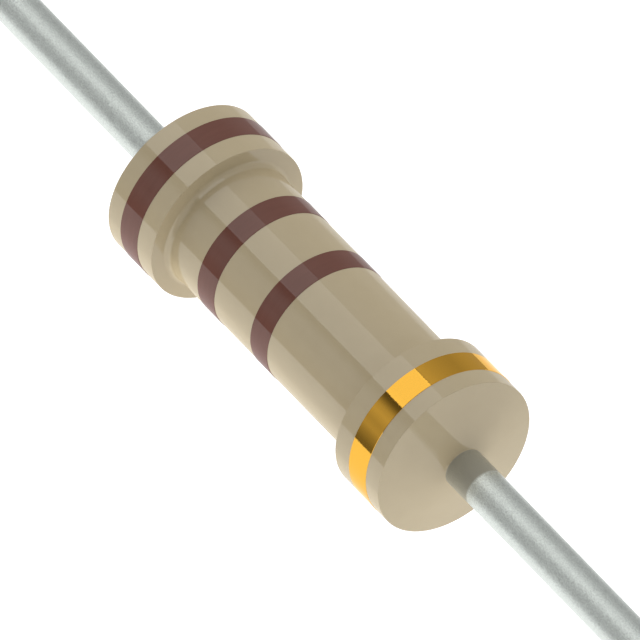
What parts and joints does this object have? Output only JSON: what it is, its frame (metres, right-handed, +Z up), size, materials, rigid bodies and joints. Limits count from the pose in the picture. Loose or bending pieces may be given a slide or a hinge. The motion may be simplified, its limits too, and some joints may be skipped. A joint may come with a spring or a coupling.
{
  "type": "axial resistor",
  "caption": "Small axial carbon film resistor: beige lacquered dog-bone body with brown and gold colour bands and long straight tinned wire leads.",
  "frame": {"origin": "centre of the body, on the axis of the leads", "axes": "+X along the leads, towards the gold band; +Z up"},
  "size_m": [0.0624, 0.0024, 0.0024],
  "materials": {
    "ceramic": "fired, matt",
    "carbon": "thin pyrolytic carbon, satin",
    "cap_steel": "pressed, plated",
    "tinned_copper": "drawn and tinned, satin",
    "beige_lacquer": "dip-coated lacquer, gloss",
    "brown_paint": "painted, gloss",
    "gold_paint": "metallic paint, gloss"
  },
  "bodies": {
    "root": {"ceramic_rod": "ceramic", "carbon_film": "carbon", "end_cap_left": "cap_steel", "end_cap_right": "cap_steel", "lead_left": "tinned_copper", "lead_right": "tinned_copper", "lacquer_coating": "beige_lacquer", "first_digit_band": "brown_paint", "second_digit_band": "brown_paint", "multiplier_band": "brown_paint", "tolerance_band": "gold_paint"}
  },
  "joints": []
}
